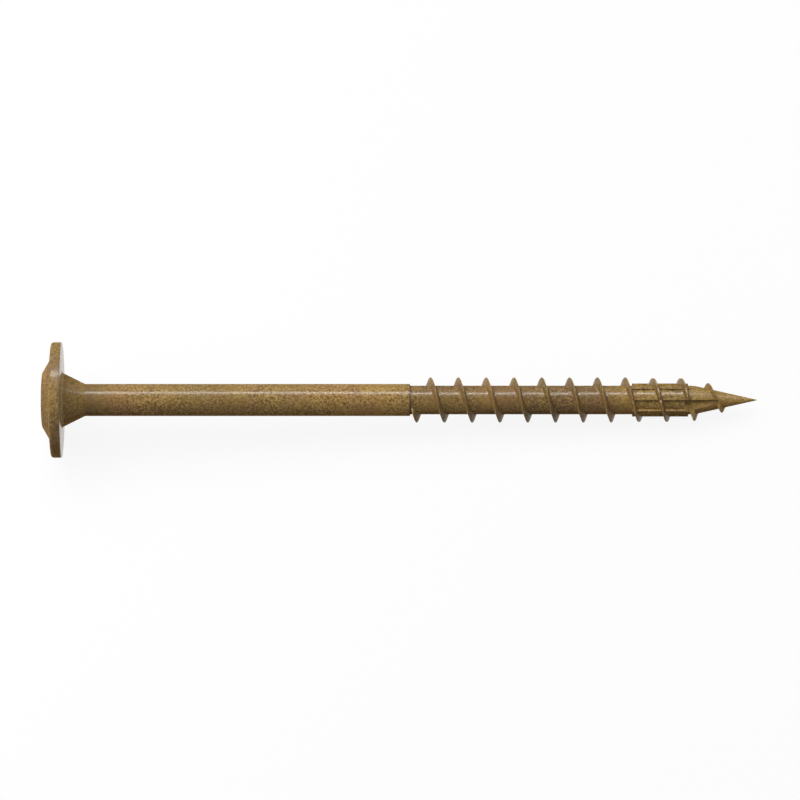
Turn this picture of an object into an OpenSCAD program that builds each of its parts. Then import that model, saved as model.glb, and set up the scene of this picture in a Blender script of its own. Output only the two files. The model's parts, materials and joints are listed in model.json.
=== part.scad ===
// Wafer head construction screw: one piece of cold-formed steel with a flanged head, a plain shank,
// a rolled coarse thread, a zone of reaming ribs and a fluted point.
// It is drawn along +Z, with the bearing face at z = 0 and the point up, then laid down along +X
// as it comes to rest on a flat surface: on the rim of its head and on its last tall crests.

/* [Overall] */
// Length from the bearing face under the head to the end of the point
screw_len = 101.6; // [90:0.1:140]

/* [Head] */
// Diameter of the flange
head_d = 16.9; // [14:0.1:22]
// Thickness of the flange at its rim
flange_t = 1.53; // [1.2:0.05:2.4]
// Rise of the flange from its rim to the foot of the boss
flange_rise = 0.25; // [0.05:0.01:0.4]
// Rounding of the rim on the driving side
rim_front_r = 0.42; // [0.1:0.01:0.6]
// Rounding of the rim on the bearing side
rim_back_r = 0.2; // [0.05:0.01:0.5]
// Diameter of the boss at its foot on the flange
boss_d = 11.7; // [9.5:0.1:13]
// Height of the boss from its foot to the edge of the crown
boss_h = 1.1; // [0.6:0.05:2]
// Diameter of the crown on top of the boss
crown_d = 7.9; // [6.8:0.05:9]
// Bulge of the crown above its edge
crown_bulge = 0.18; // [0.05:0.01:0.4]

/* [Drive recess] */
// Diameter across the six lobes
lobe_d = 5.6; // [4.8:0.05:6.2]
// Diameter across the waists between the lobes
waist_d = 3.95; // [3.4:0.05:4.3]
// Radius of the end of each lobe
lobe_r = 0.45; // [0.35:0.01:0.55]
// Depth of the recess from the top of the crown to the foot of its walls
recess_depth = 2.9; // [1.5:0.1:4]
// Depth of the shallow cone below the walls
recess_cone = 0.6; // [0.2:0.05:1]
// Width of the chamfer round the mouth
recess_chamfer = 0.15; // [0.05:0.01:0.25]

/* [Neck and shank] */
// Diameter of the tapered neck at the bearing face
neck_d = 8.05; // [6.5:0.05:10]
// Length of the tapered neck
neck_len = 3.4; // [2:0.1:6]
// Diameter of the plain shank
shank_d = 4.68; // [4.3:0.02:5.4]

/* [Thread] */
// Length from the shoulder at the end of the shank to the end of the point
thread_len = 50.7; // [35:0.1:70]
// Diameter over the crests
thread_d = 6.64; // [6.2:0.02:7.6]
// Diameter of the core between the crests
core_d = 4.19; // [3.8:0.01:4.6]
// Distance from crest to crest
pitch = 4.066; // [3:0.01:5]
// Width of the ridge where it stands on the core
ridge_base = 0.84; // [0.7:0.02:1.6]
// Width of the ridge at its crest
ridge_crest = 0.14; // [0.06:0.01:0.3]
// Distance from the shoulder to the first full crest
first_crest = 0.95; // [0.7:0.05:2]
// Part of a turn over which the ridge rises out of the core, in degrees
run_in = 50; // [20:5:90]
// Distance from where the crests begin to fall to the end of the point
fall_to_tip = 9.85; // [8:0.05:11]
// Distance from the last full crest to the end of the point
last_crest_to_tip = 5.03; // [3.5:0.01:7]
// Diameter over the last full crest
last_crest_d = 3.7; // [3:0.05:5]
// Part of a turn over which the ridge sinks into the point, in degrees
run_out = 80; // [30:5:120]

/* [Reaming ribs] */
// Number of ribs along the core
rib_count = 8; // [4:2:12]
// Diameter over the ribs
rib_d = 4.84; // [4.5:0.02:5.4]
// Width of each rib
rib_w = 0.26; // [0.15:0.01:0.5]
// Length of the ribs
rib_len = 8.2; // [4:0.1:12]
// Distance from the ribs to the end of the point
rib_to_tip = 10.05; // [9.5:0.05:14]
// Turn of the ribs about the screw, in degrees
rib_turn = -2; // [-20:1:20]
// How much lower the crests are between the ribs
crest_clip = 0.1; // [0.02:0.01:0.25]
// Number of notches in each turn of the crest between the ribs
notch_count = 4; // [2:1:8]
// Width of each notch at the crest
notch_w = 0.97; // [0.4:0.01:1.4]
// Depth of each notch
notch_depth = 0.3; // [0.1:0.01:0.5]

/* [Point] */
// Length of the tapered point
point_len = 9.15; // [7:0.05:12]
// Diameter of the blunt end of the point
tip_d = 0.1; // [0.06:0.01:0.4]
// Distance from the back of the flute to the end of the point
flute_to_tip = 10.65; // [8:0.05:13]
// Distance from the screw's axis to the floor of the flute at its back
flute_floor = 1.667; // [1.2:0.01:1.9]
// Slope of the floor towards the axis, in degrees
flute_slope = 4.3; // [1:0.1:8]

/* [Rest] */
// Turn about its own axis at which the screw lies still, in degrees
rest_turn = -69; // [-180:1:180]

/* [Hidden] */
$fn = 96;

// Facets of the thread in one turn, and points on each small arc of a profile
turn_steps = 30;
arc_steps = 5;
// Depth to which added features reach into the core, and how far cutters run past the metal
sink = 0.12;
clear = 0.5;

head_r = head_d / 2;
crown_r = crown_d / 2;
shank_r = shank_d / 2;
core_r = core_d / 2;
thread_r = thread_d / 2;
tip_r = tip_d / 2;
clip_r = thread_r - crest_clip;

// Stations along the axis, from the crown to the point
boss_z = -flange_t - flange_rise;
crown_edge_z = boss_z - boss_h;
crown_z = crown_edge_z - crown_bulge;
shoulder_z = screw_len - thread_len;
first_z = shoulder_z + first_crest;
last_z = screw_len - last_crest_to_tip;
point_z = screw_len - point_len;
rib_end_z = screw_len - rib_to_tip;
rib_z = rib_end_z - rib_len;

function arc(centre, radius, from, to) =
    [for (i = [0 : arc_steps])
        let (a = from + (to - from) * i / arc_steps)
        centre + radius * [cos(a), sin(a)]];

// Radius of the core, the shank included, at a station on the axis
function core_r_at(z) =
    z < shoulder_z ? shank_r
    : z < point_z ? core_r
    : core_r + (tip_r - core_r) * (z - point_z) / point_len;

// Radius of the crest: full, clipped between the ribs, then falling along the point
taper_z = screw_len - fall_to_tip;
function crest_r_at(z) =
    let (limit = z > rib_z && z < rib_end_z ? clip_r : thread_r)
    let (falling = thread_r + (last_crest_d / 2 - thread_r) * (z - taper_z) / (last_z - taper_z))
    min(limit, max(falling, tip_r));

// Share of its height that the ridge has at an angle, from nothing at either end
turn_total = 360 * (last_z - first_z) / pitch;
function rise_at(angle) =
    min(1, (angle + run_in) / run_in, (turn_total + run_out - angle) / run_out);

// Tilt at which the floor touches both the rim of the head and a crest at (z, r)
function tilt_to(z, r) =
    let (along = z + rim_back_r)
    let (across = head_r - rim_back_r - r)
    atan2(across, along) + asin(rim_back_r / norm([along, across]));

// The first of the crests on the underside to meet the floor settles the tilt
under_z = first_z - pitch * rest_turn / 360;
rest_tilt = min([for (z = [under_z : pitch : last_z]) tilt_to(z, crest_r_at(z))]);
rest_height = (head_r - rim_back_r) * cos(rest_tilt) + rim_back_r * (1 - sin(rest_tilt));
rest_middle = (screw_len + crown_z) / 2 * cos(rest_tilt);

// Turned outline of the blank as radius and station, from the crown to the point
flange_slant = atan2(flange_rise, head_r - boss_d / 2);
crown_sphere_r = (crown_r * crown_r + crown_bulge * crown_bulge) / (2 * crown_bulge);
crown_span = asin(crown_r / crown_sphere_r);
rim_front_z = -flange_t + rim_front_r * (1 / cos(flange_slant) - tan(flange_slant));
blank_outline = concat(
    arc([0, crown_z + crown_sphere_r], crown_sphere_r, -90, crown_span - 90),
    [[boss_d / 2, boss_z]],
    arc([head_r - rim_front_r, rim_front_z], rim_front_r, flange_slant - 90, 0),
    arc([head_r - rim_back_r, -rim_back_r], rim_back_r, 0, 90),
    [
        [neck_d / 2, 0],
        [shank_r, neck_len],
        [shank_r, shoulder_z],
        [core_r, shoulder_z],
        [core_r, point_z],
        [tip_r, screw_len],
        [0, screw_len],
    ]
);

// Outline of the six-lobe recess: lobe ends and waists are arcs that meet without a corner
lobe_centre = lobe_d / 2 - lobe_r;
waist_in = waist_d / 2;
waist_r = (lobe_centre ^ 2 + waist_in ^ 2 - 2 * lobe_centre * waist_in * cos(30) - lobe_r ^ 2)
    / (2 * (lobe_r - waist_in + lobe_centre * cos(30)));
waist_centre = waist_in + waist_r;
lobe_span = atan2(waist_centre * sin(30), waist_centre * cos(30) - lobe_centre);
function turned(points, a) =
    [for (p = points) [p.x * cos(a) - p.y * sin(a), p.x * sin(a) + p.y * cos(a)]];
function inner(points) = [for (i = [1 : len(points) - 2]) points[i]];
lobe_and_waist = concat(
    arc([lobe_centre, 0], lobe_r, -lobe_span, lobe_span),
    inner(arc(waist_centre * [cos(30), sin(30)], waist_r, 180 + lobe_span, 240 - lobe_span))
);
recess_outline = [for (i = [0 : 5]) each turned(lobe_and_waist, 60 * i)];

// Head, neck, shank, core and point, all turned about one axis
module blank() {
    rotate_extrude() polygon(blank_outline);
}

// Section of the ridge at an angle about the screw, its foot sunk in the core
function ridge_section(angle) =
    let (z = first_z + pitch * angle / 360)
    let (root = core_r_at(max(z, shoulder_z)))
    let (crest = root - sink / 2 + (crest_r_at(z) - root + sink / 2) * rise_at(angle))
    let (flank = (ridge_base - ridge_crest) / 2 / (thread_r - core_r))
    let (half_crest = ridge_crest / 2 + (z < taper_z ? (thread_r - crest_r_at(z)) * flank : 0))
    let (half_base = ridge_base / 2 + sink * flank)
    [for (p = [[-half_base, 0], [-half_crest, crest], [half_crest, crest], [half_base, 0]])
        let (r = p.y > 0 ? p.y : core_r_at(max(z + p.x, shoulder_z)) - sink)
        [r * cos(angle), r * sin(angle), z + p.x]];

// The rolled ridge: sections carried round the core along a right-hand helix
module thread_ridge() {
    count = ceil((run_in + turn_total + run_out) * turn_steps / 360);
    step = (run_in + turn_total + run_out) / count;
    corner_count = 4;
    points = [for (i = [0 : count]) each ridge_section(i * step - run_in)];
    sides = [for (i = [0 : count - 1], j = [0 : corner_count - 1])
        let (a = i * corner_count + j)
        let (b = i * corner_count + (j + 1) % corner_count)
        each [[a, b, b + corner_count], [a, b + corner_count, a + corner_count]]];
    last = count * corner_count;
    caps = [[2, 1, 0], [3, 2, 0], [last, last + 1, last + 2], [last, last + 2, last + 3]];
    polyhedron(points, concat(sides, caps), convexity = 10);
}

// Straight ribs along the core that ream the hole for the shank
module ribs() {
    translate([0, 0, rib_z])
        linear_extrude(rib_len)
            for (i = [0 : rib_count - 1])
                rotate(rib_turn + 360 * i / rib_count)
                    translate([core_r - sink, -rib_w / 2])
                        square([rib_d / 2 - core_r + sink, rib_w]);
}

// V-shaped notches across the crests between the ribs
module crest_notches() {
    foot = clip_r - notch_depth;
    reach = notch_depth + clear;
    half = notch_w / 2 * reach / notch_depth;
    translate([0, 0, rib_z])
        linear_extrude(rib_len)
            for (i = [0 : notch_count - 1])
                rotate(360 * i / notch_count)
                    polygon([[foot, 0], [foot + reach, -half], [foot + reach, half]]);
}

// One flute, milled into the point along a plane through the axis
module flute() {
    reach = thread_r + clear;
    translate([0, -flute_floor, screw_len - flute_to_tip])
        rotate([-flute_slope, 0, 0])
            translate([0, -reach, 0])
                cube([reach, reach, flute_to_tip + clear]);
}

// Six-lobe drive recess with a chamfered mouth and a shallow cone at its foot
module drive_recess() {
    foot_z = crown_z + recess_depth;
    mouth_r = lobe_d / 2 + recess_chamfer;
    mouth_z = crown_z + crown_sphere_r - sqrt(crown_sphere_r ^ 2 - mouth_r ^ 2);
    intersection() {
        translate([0, 0, crown_z - clear])
            linear_extrude(recess_depth + recess_cone + clear)
                polygon(recess_outline);
        rotate_extrude()
            polygon([
                [0, crown_z - clear],
                [lobe_d, crown_z - clear],
                [lobe_d, foot_z],
                [lobe_d / 2, foot_z],
                [0, foot_z + recess_cone],
            ]);
    }
    rotate_extrude()
        polygon([
            [0, mouth_z - clear],
            [mouth_r + clear, mouth_z - clear],
            [mouth_r - recess_chamfer * 2, mouth_z + recess_chamfer * 2],
            [0, mouth_z + recess_chamfer * 2],
        ]);
}

module screw() {
    color("darkgoldenrod")
        translate([-rest_middle, 0, rest_height])
            rotate([0, 90 + rest_tilt, 0])
                rotate(rest_turn)
                    difference() {
                        union() {
                            blank();
                            thread_ridge();
                            ribs();
                        }
                        crest_notches();
                        flute();
                        drive_recess();
                    }
}

screw();
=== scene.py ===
import json
import math

import bmesh
import bpy
from mathutils import Matrix, Vector


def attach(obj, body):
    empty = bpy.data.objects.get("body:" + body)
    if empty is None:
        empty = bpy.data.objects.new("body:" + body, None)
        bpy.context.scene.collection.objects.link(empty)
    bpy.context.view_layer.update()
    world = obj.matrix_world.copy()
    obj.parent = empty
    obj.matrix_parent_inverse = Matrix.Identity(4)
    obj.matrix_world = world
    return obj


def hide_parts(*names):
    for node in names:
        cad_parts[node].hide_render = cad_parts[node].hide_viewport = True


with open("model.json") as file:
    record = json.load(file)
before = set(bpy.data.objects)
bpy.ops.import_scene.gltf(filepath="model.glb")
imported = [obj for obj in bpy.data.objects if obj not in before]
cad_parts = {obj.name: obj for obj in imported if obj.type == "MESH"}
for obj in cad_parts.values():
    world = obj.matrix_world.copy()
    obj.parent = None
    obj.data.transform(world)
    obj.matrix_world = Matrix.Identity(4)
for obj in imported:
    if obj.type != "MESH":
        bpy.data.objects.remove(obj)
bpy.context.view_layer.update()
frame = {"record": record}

# The screw is modelled in millimetres along +X, bearing face at 0, top of the photo at +Z, front at -Y,
# and is then laid down where the record has it.
wholeScrew = {
    "roll": -69.0,  # degrees turned about its own axis as it lies
    "mergeWithin": 0.0004,  # millimetres, points closer than this are one
    "sharpFrom": 30.0,  # degrees, edges sharper than this stay crisp
}
perMetre = 1000.0  # millimetres
mounts = {mount["name"]: mount for mount in frame["record"]["mounts"]}
alongScrew = Vector(mounts["thread"]["axis"]).normalized()
crownPlace = Vector(mounts["drive_socket"]["pos_m"])


def clearSelection():
    if bpy.context.object and bpy.context.object.mode != "OBJECT":
        bpy.ops.object.mode_set(mode="OBJECT")
    bpy.ops.object.select_all(action="DESELECT")


def makeActive(piece):
    clearSelection()
    piece.select_set(True)
    bpy.context.view_layer.objects.active = piece


def closeMesh(piece):
    # doubles merged, faces turned outwards
    makeActive(piece)
    bpy.ops.object.mode_set(mode="EDIT")
    bpy.ops.mesh.select_all(action="SELECT")
    bpy.ops.mesh.remove_doubles(threshold=wholeScrew["mergeWithin"])
    bpy.ops.mesh.normals_make_consistent(inside=False)
    bpy.ops.object.mode_set(mode="OBJECT")


def startCube(name):
    # a cube of 1 mm in edit mode, to be stretched to its shape
    clearSelection()
    bpy.ops.mesh.primitive_cube_add(size=1.0, enter_editmode=True)
    piece = bpy.context.object
    piece.name = name
    return piece


def turnSelected(degrees, axis):
    bpy.ops.transform.rotate(value=math.radians(degrees), orient_axis=axis, center_override=(0, 0, 0))


def copyRound(count):
    # in edit mode: the selected shape repeated at equal angles round the X axis
    for _ in range(count - 1):
        bpy.ops.mesh.duplicate()
        turnSelected(360 / count, "X")


def turnOutline(name, points, segments):
    # an outline of (place along, radius), drawn vertex by vertex and spun round the X axis
    clearSelection()
    bpy.ops.mesh.primitive_plane_add(size=0.1, enter_editmode=True)
    piece = bpy.context.object
    piece.name = name
    bpy.ops.mesh.merge(type="CENTER")  # the plane becomes the first vertex
    bpy.ops.transform.translate(value=(points[0][0], 0, points[0][1]))
    for before, after in zip(points, points[1:]):
        step = (after[0] - before[0], 0, after[1] - before[1])
        bpy.ops.mesh.extrude_vertices_move(TRANSFORM_OT_translate={"value": step})
    bpy.ops.mesh.select_all(action="SELECT")
    bpy.ops.mesh.spin(steps=segments, angle=2 * math.pi, center=(0, 0, 0), axis=(1, 0, 0))
    closeMesh(piece)
    return piece


def combine(target, other, operation):
    makeActive(target)
    bpy.ops.object.modifier_add(type="BOOLEAN")
    joining = target.modifiers[-1]
    joining.object = other
    joining.operation = operation
    joining.solver = "EXACT"
    bpy.ops.object.modifier_apply(modifier=joining.name)
    bpy.data.objects.remove(other, do_unlink=True)
    print("combined:", operation.lower(), len(target.data.polygons), "faces")


# Head, neck, shank, core and point: places along the screw and radii.
# A rounding is how far from its corner the curve starts, and the steps on it.
blankSize = {
    "segments": 144,
    "crownTop": -3.06,
    "crownEdge": -2.875,
    "crownRadius": 3.945,
    "crownSteps": 8,  # points on the dome
    "crownRounding": (0.16, 3),
    "bossFoot": -1.78,
    "bossRadius": 5.85,
    "bossRounding": (0.22, 3),
    "flangeFront": -1.53,
    "headRadius": 8.445,
    "rimFrontRounding": (0.42, 6),
    "rimBackRounding": (0.2, 4),
    "neckRadius": 4.025,
    "neckFootRounding": (0.15, 4),
    "neckEnd": 3.4,
    "neckEndRounding": (0.1, 3),
    "shankRadius": 2.34,
    "shoulder": 50.9,
    "shoulderRounding": (0.05, 2),
    "coreRadius": 2.095,
    "coreStep": 0.45,  # spacing of the rings along the threaded part
    "pointStart": 92.45,
    "pointRounding": (0.8, 5),
    "tip": 101.59,
    "tipRadius": 0.05,
    "tipRounding": (0.03, 2),
}


def softCorner(before, corner, after, reach, steps):
    # a curve that leaves the outline at reach from the corner and meets it again past the corner
    before, corner, after = Vector(before), Vector(corner), Vector(after)
    start = corner.lerp(before, reach / (before - corner).length)
    end = corner.lerp(after, reach / (after - corner).length)
    curve = []
    for step in range(steps + 1):
        share = step / steps
        curve.append(start.lerp(corner, share).lerp(corner.lerp(end, share), share))
    return curve


def crownOutline(size):
    # the slightly domed crown, from the axis outwards
    bulge = size["crownEdge"] - size["crownTop"]
    points = []
    for step in range(size["crownSteps"]):
        share = step / size["crownSteps"]
        place = size["crownEdge"] - bulge * (1 - share**2)
        points.append(Vector((place, size["crownRadius"] * share)))
    return points


def makeBlank(size):
    # each corner: place along the screw, radius, rounding
    corners = [
        (size["crownEdge"], size["crownRadius"], size["crownRounding"]),
        (size["bossFoot"], size["bossRadius"], size["bossRounding"]),
        (size["flangeFront"], size["headRadius"], size["rimFrontRounding"]),
        (0.0, size["headRadius"], size["rimBackRounding"]),
        (0.0, size["neckRadius"], size["neckFootRounding"]),
        (size["neckEnd"], size["shankRadius"], size["neckEndRounding"]),
        (size["shoulder"], size["shankRadius"], size["shoulderRounding"]),
        (size["shoulder"], size["coreRadius"], size["shoulderRounding"]),
        (size["pointStart"], size["coreRadius"], size["pointRounding"]),
        (size["tip"], size["tipRadius"], size["tipRounding"]),
    ]
    end = (size["tip"], 0.0)
    following = [corner[:2] for corner in corners[1:]] + [end]
    points = crownOutline(size)
    for (place, radius, (reach, steps)), after in zip(corners, following):
        before = points[-1]
        curve = softCorner(before, (place, radius), after, reach, steps)
        gap = curve[0].x - before.x
        if place > size["shoulder"] and gap > 2 * size["coreStep"]:  # rings along the core and the point
            rings = int(gap / size["coreStep"])
            points += [before.lerp(curve[0], ring / rings) for ring in range(1, rings)]
        points += curve
    points.append(Vector(end))
    return turnOutline("screw_body", points, size["segments"])


screwBody = makeBlank(blankSize)
print("blank turned:", len(screwBody.data.polygons), "faces")


# The stretch with reaming ribs, where the crests are clipped and notched too
ribZone = {"start": 83.35, "end": 91.55}
ribZoneLength = ribZone["end"] - ribZone["start"]
ribZoneMiddle = (ribZone["start"] + ribZone["end"]) / 2

# The rolled thread
threadSize = {
    "stepsPerTurn": 72,
    "crestRadius": 3.305,
    "pitch": 4.066,
    "rootWidth": 0.84,
    "crestWidth": 0.08,
    "firstCrest": 51.85,  # place of the crest under the screw, first and last
    "lastCrest": 96.57,
    "lastRadius": 1.85,
    "fallStart": 91.75,  # the crest falls from here along the point
    "clip": 0.1,  # taken off the crests between the ribs
    "clipRamp": 0.25,  # length in which the clipping comes in
    "clipWidth": 0.2,  # the flat that it leaves
    "runIn": 62.0,  # degrees of ridge before the first crest
    "bluntOver": 14.0,  # degrees in which it starts off, and the share of its height by then
    "bluntHeight": 0.74,
    "runOut": 80.0,  # degrees in which it sinks after the last crest
    "endDrop": 0.09,  # how far the ends sink into the core
    "fillet": 0.06,
    "crestRounding": 0.03,
    "softUnder": 0.5,  # a ridge lower than this has smaller roundings
    "footOut": 0.06,  # the ridge is rooted inside the core, this far past the fillet and this deep
    "footDown": 0.16,
    "filletDown": 0.008,  # the fillet starts this far under the core's surface
}


def coreAt(place):
    size = blankSize
    if place < size["pointStart"]:
        return size["coreRadius"]
    share = (place - size["pointStart"]) / (size["tip"] - size["pointStart"])
    return size["coreRadius"] + (size["tipRadius"] - size["coreRadius"]) * share


def clippedAt(place):
    # 1 between the reaming ribs, 0 away from them
    into = (place - ribZone["start"]) / threadSize["clipRamp"]
    outOf = (ribZone["end"] - place) / threadSize["clipRamp"]
    return max(0.0, min(1.0, into, outOf))


def crestAt(place):
    size = threadSize
    slope = (size["lastRadius"] - size["crestRadius"]) / (size["lastCrest"] - size["fallStart"])
    falling = size["crestRadius"] + slope * (place - size["fallStart"])
    return min(size["crestRadius"] - size["clip"] * clippedAt(place), falling)


def riseAt(angle, wholeTurn):
    # share of the full height: a blunt start, then the thread, then a long sinking end
    size = threadSize
    started = angle + size["runIn"]
    blunt = size["bluntHeight"]
    rising = blunt * min(1.0, started / size["bluntOver"]) + (1 - blunt) * started / size["runIn"]
    sinking = (wholeTurn + size["runOut"] - angle) / size["runOut"]
    return max(0.0, min(1.0, rising, sinking))


def ridgeSection(angle, wholeTurn):
    # the ridge cut along the axis: (place along, radius) from one foot over the crest to the other
    size = threadSize
    middle = size["firstCrest"] + size["pitch"] * angle / 360
    rise = riseAt(angle, wholeTurn)
    height = (crestAt(middle) - coreAt(middle)) * rise
    fullHeight = size["crestRadius"] - blankSize["coreRadius"]
    flank = (size["rootWidth"] - size["crestWidth"]) / 2 / fullHeight
    halfRoot = size["crestWidth"] / 2 + height * flank
    halfCrest = (size["crestWidth"] + (size["clipWidth"] - size["crestWidth"]) * clippedAt(middle)) / 2
    soft = min(1.0, height / size["softUnder"])
    fillet = size["fillet"] * soft
    rounding = size["crestRounding"] * soft
    side = [
        (halfRoot + fillet + size["footOut"], -size["footDown"]),
        (halfRoot + fillet, -size["filletDown"]),
        (halfRoot + fillet * 0.3, fillet * 0.2),  # on the curve of the fillet
        (halfRoot - flank * fillet * 0.9, fillet * 0.9),
        (halfCrest + flank * rounding, height - rounding),
        (halfCrest - rounding * 0.7, height),
    ]
    drop = size["endDrop"] * (1 - rise)
    section = []
    for offset, up in side:
        section.append((middle - offset, coreAt(middle - offset) + up - drop))
    for offset, up in reversed(side):
        section.append((middle + offset, coreAt(middle + offset) + up - drop))
    return section


def makeRidge(size):
    wholeTurn = 360 * (size["lastCrest"] - size["firstCrest"]) / size["pitch"]
    sweep = size["runIn"] + wholeTurn + size["runOut"]
    corners = len(ridgeSection(0.0, wholeTurn))
    clearSelection()
    bpy.ops.mesh.primitive_circle_add(vertices=corners, radius=1.0, fill_type="NOTHING")
    ridge = bpy.context.object
    ridge.name = "thread_ridge"
    bpy.ops.object.modifier_add(type="SCREW")
    turning = ridge.modifiers[-1]
    turning.axis = "X"
    turning.angle = math.radians(sweep)
    turning.screw_offset = size["pitch"] * sweep / 360
    turning.steps = int(sweep * size["stepsPerTurn"] / 360)
    turning.render_steps = turning.steps
    turning.use_smooth_shade = False
    bpy.ops.object.modifier_apply(modifier=turning.name)
    # every ring of the sweep takes the section that the thread has there
    rings = len(ridge.data.vertices) // corners
    for ring in range(rings):
        angle = sweep * ring / (rings - 1) - size["runIn"]
        across = math.sin(math.radians(angle))
        down = math.cos(math.radians(angle))
        for corner, (place, radius) in enumerate(ridgeSection(angle, wholeTurn)):
            vertex = ridge.data.vertices[ring * corners + corner]
            vertex.co = (place, radius * across, -radius * down)
    makeActive(ridge)
    bpy.ops.object.mode_set(mode="EDIT")
    bpy.ops.mesh.select_mode(type="EDGE")
    bpy.ops.mesh.select_all(action="DESELECT")
    bpy.ops.mesh.select_non_manifold()
    bpy.ops.mesh.fill_holes(sides=0)  # both ends closed
    bpy.ops.mesh.select_mode(type="VERT")
    bpy.ops.mesh.select_all(action="SELECT")
    bpy.ops.mesh.normals_make_consistent(inside=False)
    bpy.ops.object.mode_set(mode="OBJECT")
    print("thread ridge:", rings, "rings of", corners)
    return ridge


combine(screwBody, makeRidge(threadSize), "UNION")


# Straight reaming ribs along the core
ribSize = {
    "count": 8,
    "width": 0.26,
    "topRadius": 2.42,
    "footDown": 0.15,  # rooted this far inside the core
    "edge": 0.05,  # bevel round the top, and its steps
    "edgeSteps": 2,
    "turn": 2.0,  # degrees from the underside of the screw
    "pickWithin": 0.001,  # edges this near the top are the top's
}


def makeRibs(size):
    ribs = startCube("reaming_ribs")
    footRadius = blankSize["coreRadius"] - size["footDown"]
    bpy.ops.transform.resize(value=(ribZoneLength, size["width"], size["topRadius"] - footRadius))
    bpy.ops.transform.translate(value=(ribZoneMiddle, 0, -(size["topRadius"] + footRadius) / 2))
    mesh = bmesh.from_edit_mesh(ribs.data)
    for edge in mesh.edges:
        edge.select = all(vertex.co.z < size["pickWithin"] - size["topRadius"] for vertex in edge.verts)
    mesh.select_flush(True)
    bmesh.update_edit_mesh(ribs.data)
    bpy.ops.mesh.bevel(offset=size["edge"], segments=size["edgeSteps"], affect="EDGES")
    bpy.ops.mesh.select_all(action="SELECT")
    turnSelected(size["turn"], "X")
    copyRound(size["count"])
    closeMesh(ribs)
    return ribs


combine(screwBody, makeRibs(ribSize), "UNION")


# V notches across the crests between the ribs, each cut by a bar of diamond section
notchSize = {
    "count": 4,
    "depth": 0.3,
    "width": 0.97,
    "barHeight": 0.6,  # from the middle of the bar to its corner
}


def makeNotches(size):
    notches = startCube("crest_notches")
    turnSelected(45, "X")
    tall = size["barHeight"]
    wide = tall * size["width"] / 2 / size["depth"]
    corner = math.sqrt(0.5)  # of the cube, from its middle
    bpy.ops.transform.resize(value=(ribZoneLength, wide / corner, tall / corner))
    apex = threadSize["crestRadius"] - threadSize["clip"] - size["depth"]
    bpy.ops.transform.translate(value=(ribZoneMiddle, 0, -apex - tall))
    copyRound(size["count"])
    closeMesh(notches)
    return notches


combine(screwBody, makeNotches(notchSize), "DIFFERENCE")


# The flute milled into the point, below a plane through the axis
fluteSize = {
    "start": 90.95,
    "floor": 1.667,  # from the axis to the floor where it starts
    "slope": 4.3,  # degrees by which the floor nears the axis
    "reach": 3.9,  # width and height of the cutter
    "length": 11.2,
}


def makeFlute(size):
    flute = startCube("flute")
    bpy.ops.transform.resize(value=(size["length"], size["reach"], size["reach"]))
    bpy.ops.transform.translate(value=(size["length"] / 2, -size["reach"] / 2, -size["reach"] / 2))
    turnSelected(-size["slope"], "Z")
    bpy.ops.transform.translate(value=(size["start"], -size["floor"], 0))
    closeMesh(flute)
    return flute


combine(screwBody, makeFlute(fluteSize), "DIFFERENCE")


# The six-lobe drive recess
recessSize = {
    "lobes": 6,
    "points": 120,  # round the outline
    "lobeRadius": 2.8,
    "lobeEnd": 0.45,  # radius of a lobe's own arc, and degrees that it takes on each side
    "lobeSpan": 10.14,
    "waistRadius": 1.975,
    "waistCurve": 1.158,
    "depth": 2.9,
    "cone": 0.6,  # depth of the shallow cone at the foot
    "coneSteps": 4,
    "chamfer": 0.15,
    "mouthSegments": 96,
    "cutAbove": 0.5,  # both cutters start this far outside the crown
    "cutBelow": 0.3,  # the mouth's cutter ends this far inside it
}


def lobeAt(angle):
    size = recessSize
    halfStep = math.pi / size["lobes"]
    fromLobe = abs((angle + halfStep) % (2 * halfStep) - halfStep)
    if fromLobe < math.radians(size["lobeSpan"]):
        lobeMiddle = size["lobeRadius"] - size["lobeEnd"]
        across = lobeMiddle * math.sin(fromLobe)
        return lobeMiddle * math.cos(fromLobe) + math.sqrt(size["lobeEnd"] ** 2 - across**2)
    fromWaist = halfStep - fromLobe
    waistMiddle = size["waistRadius"] + size["waistCurve"]
    across = waistMiddle * math.sin(fromWaist)
    return waistMiddle * math.cos(fromWaist) - math.sqrt(size["waistCurve"] ** 2 - across**2)


def extrudeAlong(distance):
    bpy.ops.mesh.extrude_region_move(TRANSFORM_OT_translate={"value": (distance, 0, 0)})


def makeRecess(size):
    clearSelection()
    bpy.ops.mesh.primitive_circle_add(
        vertices=size["points"], radius=1.0, fill_type="NGON", rotation=(0, math.radians(90), 0)
    )
    recess = bpy.context.object
    recess.name = "drive_recess"
    bpy.ops.object.transform_apply(location=True, rotation=True, scale=True)
    start = blankSize["crownTop"] - size["cutAbove"]
    for vertex in recess.data.vertices:
        angle = math.atan2(vertex.co.y, vertex.co.z)
        radius = lobeAt(angle)
        vertex.co = (start, radius * math.sin(angle), radius * math.cos(angle))
    bpy.ops.object.mode_set(mode="EDIT")
    bpy.ops.mesh.select_all(action="SELECT")
    extrudeAlong(size["depth"] + size["cutAbove"])
    coneStep = size["cone"] / size["coneSteps"]
    for left in range(size["coneSteps"] - 1, 0, -1):  # the foot closes in a shallow cone
        extrudeAlong(coneStep)
        narrow = left / (left + 1)
        bpy.ops.transform.resize(value=(1, narrow, narrow), center_override=(0, 0, 0))
    extrudeAlong(coneStep)
    bpy.ops.mesh.merge(type="CENTER")
    closeMesh(recess)
    return recess


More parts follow.
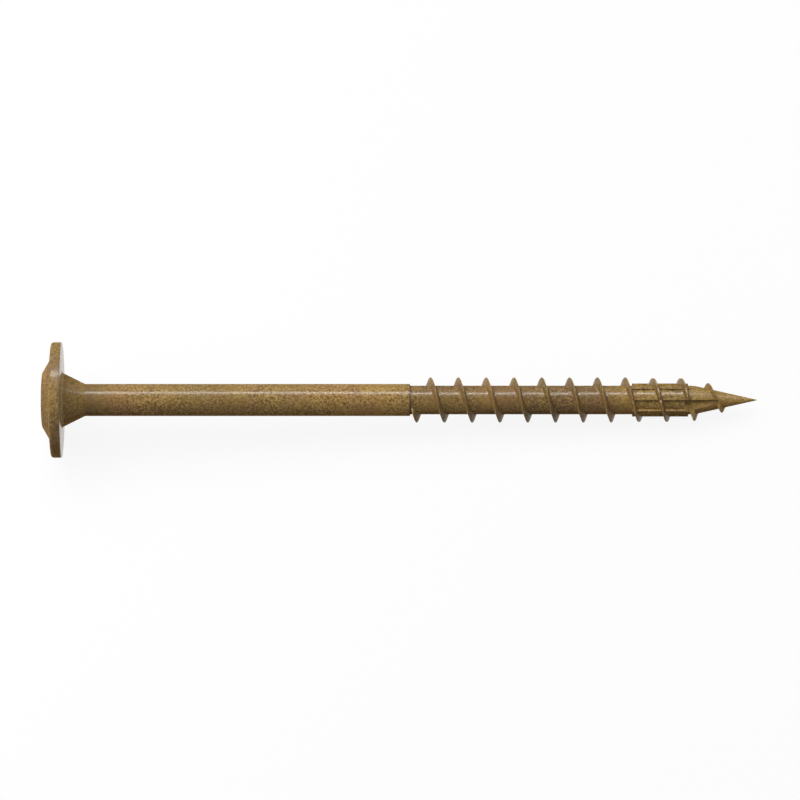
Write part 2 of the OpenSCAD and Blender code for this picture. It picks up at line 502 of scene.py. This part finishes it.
def makeMouth(size):
    # the chamfer round the mouth of the recess
    radius = size["lobeRadius"] + size["chamfer"]
    bulge = blankSize["crownEdge"] - blankSize["crownTop"]
    place = blankSize["crownTop"] + bulge * (radius / blankSize["crownRadius"]) ** 2
    above, below = size["cutAbove"], size["cutBelow"]
    points = [
        Vector((place - above, 0.0)),
        Vector((place - above, radius + above)),
        Vector((place + below, radius - below)),
        Vector((place + below, 0.0)),
    ]
    return turnOutline("recess_mouth", points, size["mouthSegments"])


combine(screwBody, makeRecess(recessSize), "DIFFERENCE")
combine(screwBody, makeMouth(recessSize), "DIFFERENCE")

# Laid down: turned about its axis, tilted as the record has it, millimetres to metres
side = Vector((0, 1, 0))
upwards = alongScrew.cross(side)
basis = Matrix((alongScrew, side, upwards)).transposed().to_4x4()
rolled = basis @ Matrix.Rotation(math.radians(wholeScrew["roll"]), 4, "X")
bearingPlace = crownPlace - alongScrew * blankSize["crownTop"] / perMetre
closeMesh(screwBody)
makeActive(screwBody)
screwBody.matrix_world = Matrix.Translation(bearingPlace) @ rolled @ Matrix.Scale(1 / perMetre, 4)
bpy.ops.object.transform_apply(location=True, rotation=True, scale=True)
bpy.ops.object.shade_smooth_by_angle(angle=math.radians(wholeScrew["sharpFrom"]))
checkMesh = bmesh.new()
checkMesh.from_mesh(screwBody.data)
openEdges = sum(not edge.is_manifold for edge in checkMesh.edges)
print("screw laid down:", len(screwBody.data.polygons), "faces,", openEdges, "open edges")
checkMesh.free()


class Wire:
    # a socket that takes part in Python arithmetic; add() puts any other node into the same tree
    def __init__(self, tree, socket=None):
        self.tree = tree
        self.socket = socket

    def add(self, kind, settings=None, sockets=None, output=0):
        node = self.tree.nodes.new(kind)
        for name, value in (settings or {}).items():
            setattr(node, name, value)
        for name, value in (sockets or {}).items():
            if isinstance(value, Wire):
                self.tree.links.new(value.socket, node.inputs[name])
            else:
                node.inputs[name].default_value = value
        return Wire(self.tree, node.outputs[output] if node.outputs else None)

    def maths(self, operation, first, second):
        return self.add("ShaderNodeMath", {"operation": operation}, {0: first, 1: second})

    def __add__(self, other):
        return self.maths("ADD", self, other)

    def __radd__(self, other):
        return self.maths("ADD", other, self)

    def __sub__(self, other):
        return self.maths("SUBTRACT", self, other)

    def __rsub__(self, other):
        return self.maths("SUBTRACT", other, self)

    def __mul__(self, other):
        return self.maths("MULTIPLY", self, other)

    def __rmul__(self, other):
        return self.maths("MULTIPLY", other, self)

    def __abs__(self):
        return self.add("ShaderNodeMath", {"operation": "ABSOLUTE"}, {0: self})

    def ease(self, low, high):
        # 0 below low, 1 above high, smooth between
        return self.add(
            "ShaderNodeMapRange",
            {"interpolation_type": "SMOOTHSTEP"},
            {"Value": self, "From Min": low, "From Max": high, "To Min": 0.0, "To Max": 1.0},
        )

    def span(self, riseStart, riseEnd, fallStart, fallEnd):
        # 1 in the middle of a stretch, 0 outside it, smooth at both ends
        return self.ease(riseStart, riseEnd) * (1 - self.ease(fallStart, fallEnd))

    def mixed(self, under, over, blend="MIX"):
        # two colours mixed by this mask
        settings = {"data_type": "RGBA", "blend_type": blend}
        return self.add("ShaderNodeMix", settings, {"Factor": self, 6: under, 7: over}, 2)


def startMaterial(name):
    material = bpy.data.materials.new(name)
    material.use_nodes = True
    material.node_tree.nodes.clear()
    return material, Wire(material.node_tree)


# The bronze coating: cloudy and speckled, darker on the head, worn a little on the crests; painted shade
# on the neck, rim, flanks, thread roots, shoulder and flute wall, painted light on the bearing face and
# the point
coating = {
    "gold": (0.445, 0.279, 0.07, 1),
    "olive": (0.27, 0.175, 0.052, 1),
    "rosy": (0.34, 0.17, 0.08, 1),
    "darkSpeck": (0.1, 0.05, 0.022, 1),
    "brightSpeck": (0.68, 0.47, 0.2, 1),
    # painted shade, laid on neck, rim and flanks, past the neck, in the thread's roots, at the shoulder
    # and along the flute's wall; the head is darkened with it too
    "paintedShade": (0.12, 0.075, 0.04, 1),
    "worn": (0.46, 0.33, 0.17, 1),
    "paintedBearingLight": (0.19, 0.15, 0.1, 1),  # painted light, added on the bearing face and the foot of the neck to lift their shade
    "paintedPointLight": (0.075, 0.046, 0.01, 1),  # painted light, added on the point
    "noises": {  # size in millimetres, detail, roughness, seed
        "clouds": (13.0, 3.0, 0.45, 11.5),
        "patches": (5.0, 3.0, 0.5, 7.1),
        "specks": (0.24, 2.0, 0.6, 3.7),
        "grain": (0.16, 2.0, 0.6, 9.2),
        "crowds": (7.0, 2.0, 0.5, 5.5),  # where the specks are stronger
    },
    "levels": {  # of a noise, between which a colour comes in
        "olive": (0.36, 0.64),
        "rosy": (0.46, 0.66),
        "darkSpeck": (0.36, 0.52),
        "brightSpeck": (0.52, 0.64),
        "crowds": (0.4, 0.6),
        "roots": (0.35, 0.65),
        "worn": (0.4, 0.65),
    },
    "shares": {  # how strong each colour gets
        "rosy": 0.5,
        "darkSpeck": 0.78,
        "brightSpeck": 0.6,
        "leastSpecks": 0.55,  # of the specks' strength, away from their crowds
        "worn": 0.45,
    },
    # how strong the painted shade is at each place, and how much darker the head is
    "paintedShadeShares": {
        "flanks": 0.4,
        "neck": 0.19,
        "pastNeck": 0.34,
        "head": 0.24,
        "rim": 0.16,
        "roots": 0.35,
        "shoulder": 0.75,
        "fluteWall": 0.45,
    },
    "places": {  # millimetres between which a mask rises, and then falls
        "headEnds": (-0.3, 1.2),
        "neck": (0.3, 0.9, 2.0, 11.5),
        "pastNeck": (3.0, 3.8, 3.8, 11.0),
        "bearing": (-0.2, -0.1, 0.05, 0.15),
        # painted light on the bearing face and the foot of the neck
        "paintedBearingLightPlace": (-0.1, -0.02, 0.1, 0.45),
        "shoulderGap": (0.05, 0.22),  # from the shoulder, both ways, where a line of painted shade lies at the step
        "threadStarts": (blankSize["shoulder"], blankSize["shoulder"] + 0.3),
        "ribsNear": (76.0, 86.0),
        "pointStarts": (90.5, 93.0),
        "flute": (91.8, 93.0, 95.0, 97.0),
        "fluteFront": (-0.9, -0.5),
        "fluteWall": (-0.85, -0.25, -0.02, 0.02),  # painted shade below the plane through the axis, along the flute's wall
        "rootRadius": (2.1, 2.45),
        "crestRadius": (3.08, 3.28),
        "bearingRadius": (4.05, 4.25),
        "rimRadius": (8.25, 8.42),
        "flankSlant": (0.7, 0.9),  # not millimetres: the share of the normal along the screw
    },
    "gloss": {
        "roughness": 0.26,
        "specular": 0.15,
        "grain": 0.3,  # how much grain and clouds change the roughness
        "clouds": 0.12,
        "slant": 0.75,  # rougher at a slant, and the slants between which that comes in
        "slants": (0.2, 0.5),
        "flanksSpared": 0.85,  # share of that which the rolled flanks are spared
        "flanks": 0.06,  # smoother on the flanks and on the bearing face, duller on the point
        "bearing": 0.1,
        "point": 0.15,
    },
    "bump": {"height": 0.000011, "specks": 0.8, "patches": 0.9},  # metres, and shares beside the grain
}


def noise(tree, coordinates, size, detail, roughness, seed):
    sockets = {
        "Vector": coordinates,
        "W": seed,
        "Scale": 1 / size,
        "Detail": detail,
        "Roughness": roughness,
    }
    return tree.add("ShaderNodeTexNoise", {"noise_dimensions": "4D"}, sockets)


def screwCoordinates(tree):
    # millimetres along, across and up the screw, as it was modelled
    back = rolled.inverted()
    sockets = {
        "Vector": tree.add("ShaderNodeTexCoord", output="Object"),
        "Location": (back @ bearingPlace) * -perMetre,
        "Rotation": back.to_euler(),
        "Scale": (perMetre, perMetre, perMetre),
    }
    return tree.add("ShaderNodeMapping", {"vector_type": "POINT"}, sockets)


def coatingMasks(tree, onScrew, places):
    along = tree.add("ShaderNodeSeparateXYZ", sockets={0: onScrew}, output="X")
    front = tree.add("ShaderNodeSeparateXYZ", sockets={0: onScrew}, output="Y")
    up = tree.add("ShaderNodeSeparateXYZ", sockets={0: onScrew}, output="Z")
    across = tree.add("ShaderNodeVectorMath", {"operation": "MULTIPLY"}, {0: onScrew, 1: (0, 1, 1)})
    radius = tree.add("ShaderNodeVectorMath", {"operation": "LENGTH"}, {0: across}, "Value")
    normals = {0: tree.add("ShaderNodeTexCoord", output="Normal"), 1: alongScrew}
    endways = abs(tree.add("ShaderNodeVectorMath", {"operation": "DOT_PRODUCT"}, normals, "Value"))
    onThread = along.ease(*places["threadStarts"])
    onFlute = along.span(*places["flute"]) * (1 - front.ease(*places["fluteFront"]))
    beforeRibs = 1 - along.ease(*places["ribsNear"])
    # the neck, past-neck, rim, flank, root, shoulder and flute-wall masks place painted shade in the
    # colour; the head mask darkens the head; the mask at the bearing face places painted light
    return {
        "head": 1 - along.ease(*places["headEnds"]),
        "rim": radius.ease(*places["rimRadius"]),
        "bearing": along.span(*places["bearing"]) * radius.ease(*places["bearingRadius"]),
        "paintedBearingLightPlace": along.span(*places["paintedBearingLightPlace"]),
        "neck": along.span(*places["neck"]),
        "pastNeck": along.span(*places["pastNeck"]),
        "shoulder": 1 - abs(along - blankSize["shoulder"]).ease(*places["shoulderGap"]),
        "flanks": endways.ease(*places["flankSlant"]) * onThread,
        "roots": (1 - radius.ease(*places["rootRadius"])) * onThread * beforeRibs,
        "crests": radius.ease(*places["crestRadius"]) * onThread,
        "point": along.ease(*places["pointStarts"]),
        "fluteWall": onFlute * up.span(*places["fluteWall"]),
    }


def coatingColour(values, noises, masks):
    levels, shares, shadeShares = values["levels"], values["shares"], values["paintedShadeShares"]
    # gold with olive clouds and rosy patches, speckled more in some places
    colour = noises["clouds"].ease(*levels["olive"]).mixed(values["gold"], values["olive"])
    rosy = noises["patches"].ease(*levels["rosy"]) * shares["rosy"]
    colour = rosy.mixed(colour, values["rosy"])
    least = shares["leastSpecks"]
    strong = least + noises["crowds"].ease(*levels["crowds"]) * (1 - least)
    dark = (1 - noises["specks"].ease(*levels["darkSpeck"])) * strong * shares["darkSpeck"]
    colour = dark.mixed(colour, values["darkSpeck"])
    bright = noises["specks"].ease(*levels["brightSpeck"]) * strong * shares["brightSpeck"]
    colour = bright.mixed(colour, values["brightSpeck"])
    # painted shade on the neck, rim and flanks, just past the neck, in the roots of the thread and at the
    # shoulder; the whole head darker too
    darker = masks["flanks"] * shadeShares["flanks"]
    for name in ("neck", "pastNeck", "head", "rim"):
        darker = darker + masks[name] * shadeShares[name]
    colour = darker.mixed(colour, values["paintedShade"])
    # painted shade in the roots of the thread, in patches
    roots = masks["roots"] * noises["patches"].ease(*levels["roots"]) * shadeShares["roots"]
    colour = roots.mixed(colour, values["paintedShade"])
    # painted shade in a line at the shoulder's step
    colour = (masks["shoulder"] * shadeShares["shoulder"]).mixed(colour, values["paintedShade"])
    # worn crests, painted light on the bearing face and the point, and painted shade along the wall of
    # its flute
    worn = masks["crests"] * noises["grain"].ease(*levels["worn"]) * shares["worn"]
    colour = worn.mixed(colour, values["worn"])
    # painted light on the bearing face and the foot of the neck
    colour = masks["paintedBearingLightPlace"].mixed(colour, values["paintedBearingLight"], "ADD")
    # painted light on the point
    colour = masks["point"].mixed(colour, values["paintedPointLight"], "ADD")
    # painted shade along the wall of the flute
    return (masks["fluteWall"] * shadeShares["fluteWall"]).mixed(colour, values["paintedShade"])


def coatingRoughness(tree, gloss, noises, masks):
    # the gloss fades at a slant, less on the rolled flanks and not on the pressed bearing face
    slant = tree.add("ShaderNodeLayerWeight", output="Facing")
    offFlanks = 1 - masks["flanks"] * gloss["flanksSpared"]
    fading = slant.ease(*gloss["slants"]) * (1 - masks["bearing"]) * offFlanks
    middle = 0.5  # of a noise
    roughness = gloss["roughness"] + (noises["grain"] - middle) * gloss["grain"]
    roughness = roughness + (noises["clouds"] - middle) * gloss["clouds"]
    roughness = roughness + fading * gloss["slant"] + masks["point"] * gloss["point"]
    return roughness - masks["bearing"] * gloss["bearing"] - masks["flanks"] * gloss["flanks"]


def makeCoating(values):
    material, tree = startMaterial("bronze_coating")
    onScrew = screwCoordinates(tree)
    noises = {name: noise(tree, onScrew, *kind) for name, kind in values["noises"].items()}
    masks = coatingMasks(tree, onScrew, values["places"])
    bumpy = values["bump"]
    height = noises["grain"] + noises["specks"] * bumpy["specks"] + noises["patches"] * bumpy["patches"]
    relief = {"Height": height, "Strength": 1.0, "Distance": bumpy["height"]}
    surface = tree.add(
        "ShaderNodeBsdfPrincipled",
        sockets={
            "Base Color": coatingColour(values, noises, masks),
            "Roughness": coatingRoughness(tree, values["gloss"], noises, masks),
            "Metallic": 0.0,
            "Specular IOR Level": values["gloss"]["specular"],
            "Normal": tree.add("ShaderNodeBump", sockets=relief),
        },
    )
    tree.add("ShaderNodeOutputMaterial", sockets={"Surface": surface})
    return material


screwBody.data.materials.clear()
screwBody.data.materials.append(makeCoating(coating))
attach(screwBody, "root")
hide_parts("screw")
print("coating made")

# Camera square to the screw, on the side that the photo shows
camera = {
    "middle": 49.425,  # millimetres along the screw
    "distance": 0.965,  # metres
    "width": 0.11698,  # metres across the picture
    "sensor": 36.0,
}
right = alongScrew
toward = (rolled @ Vector((0, -1, 0))).normalized()
imageUp = (rolled @ Vector((0, 0, 1))).normalized()
viewMiddle = bearingPlace + alongScrew * camera["middle"] / perMetre
facing = Matrix((right, imageUp, toward)).transposed().to_4x4()
bpy.ops.object.camera_add()
sceneCamera = bpy.context.object
sceneCamera.matrix_world = Matrix.Translation(viewMiddle + toward * camera["distance"]) @ facing
sceneCamera.data.sensor_width = camera["sensor"]
sceneCamera.data.lens = camera["sensor"] * camera["distance"] / camera["width"]
bpy.context.scene.camera = sceneCamera
print("camera placed, elevation", round(math.degrees(math.asin(toward.z)), 1))

# Plain soft light: a broad lamp from above, a small one at each end, and a strip for the highlight alone.
# "from" is along the picture: to the right, up, and towards the camera.
lamps = {
    "broad": {
        "from": (-0.28, 0.66, 0.6),
        "distance": 0.6,
        "size": (0.5, 0.5),
        "power": 3.2,
        "highlightOnly": False,
    },
    "left": {
        "from": (-0.95, 0.15, 0.3),
        "distance": 0.18,
        "size": (0.1, 0.1),
        "power": 0.09,
        "highlightOnly": False,
    },
    "right": {
        "from": (0.95, 0.2, 0.25),
        "distance": 0.25,
        "size": (0.14, 0.14),
        "power": 0.05,
        "highlightOnly": False,
    },
    "strip": {
        "from": (0.0, 0.808, 0.589),
        "distance": 0.55,
        "size": (0.9, 0.055),
        "power": 9.5,
        "highlightOnly": True,
    },
}


def makeLamp(name, values):
    outwards = (facing.to_3x3() @ Vector(values["from"])).normalized()
    bpy.ops.object.light_add(type="AREA")
    lamp = bpy.context.object
    lamp.name = name
    lamp.data.shape = "RECTANGLE"
    lamp.data.size, lamp.data.size_y = values["size"]
    lamp.data.energy = values["power"]
    lamp.visible_glossy = values["highlightOnly"]
    lamp.visible_diffuse = not values["highlightOnly"]
    lampUp = outwards.cross(right).normalized()
    lampRight = lampUp.cross(outwards)
    frameOfLamp = Matrix((lampRight, lampUp, outwards)).transposed().to_4x4()
    lamp.matrix_world = Matrix.Translation(viewMiddle + outwards * values["distance"]) @ frameOfLamp


for lampName, lampValues in lamps.items():
    makeLamp(lampName, lampValues)
print("lamps placed:", len(lamps))

# Pale floor, white to the camera, with the shadow of the screw
stage = {
    "floorSize": 6.0,
    "white": (1, 1, 1, 1),
    "bounce": (0.35, 0.28, 0.28, 1),  # the floor as it lights the screw
    "shadow": 0.1,
    "ambient": 0.16,
}


def seenDirectly(tree):
    # 1 where the stage itself is seen, straight or in a gloss, 0 where it only gives light
    straight = tree.add("ShaderNodeLightPath", output="Is Camera Ray")
    glossy = tree.add("ShaderNodeLightPath", output="Is Glossy Ray")
    through = tree.add("ShaderNodeLightPath", output="Is Transmission Ray")
    return straight + glossy + through


def makeFloor(values):
    clearSelection()
    bpy.ops.mesh.primitive_plane_add(size=values["floorSize"], location=(0, 0, 0))
    floor = bpy.context.object
    floor.name = "floor"
    material, tree = startMaterial("pale_floor")
    glow = tree.add("ShaderNodeEmission", sockets={"Color": values["white"], "Strength": 1.0})
    lit = tree.add("ShaderNodeBsdfDiffuse", sockets={"Color": values["white"]})
    shown = tree.add("ShaderNodeMixShader", sockets={0: values["shadow"], 1: glow, 2: lit})
    bounce = tree.add("ShaderNodeBsdfDiffuse", sockets={"Color": values["bounce"]})
    whole = tree.add("ShaderNodeMixShader", sockets={0: seenDirectly(tree), 1: bounce, 2: shown})
    tree.add("ShaderNodeOutputMaterial", sockets={"Surface": whole})
    floor.data.materials.append(material)


def makeWorld(values):
    world = bpy.data.worlds.new("studio")
    world.use_nodes = True
    world.node_tree.nodes.clear()
    tree = Wire(world.node_tree)
    strength = values["ambient"] + seenDirectly(tree) * (1 - values["ambient"])
    sky = tree.add("ShaderNodeBackground", sockets={"Color": values["white"], "Strength": strength})
    tree.add("ShaderNodeOutputWorld", sockets={"Surface": sky})
    bpy.context.scene.world = world


makeFloor(stage)
makeWorld(stage)
bpy.context.scene.view_settings.view_transform = "Standard"
print("stage set")
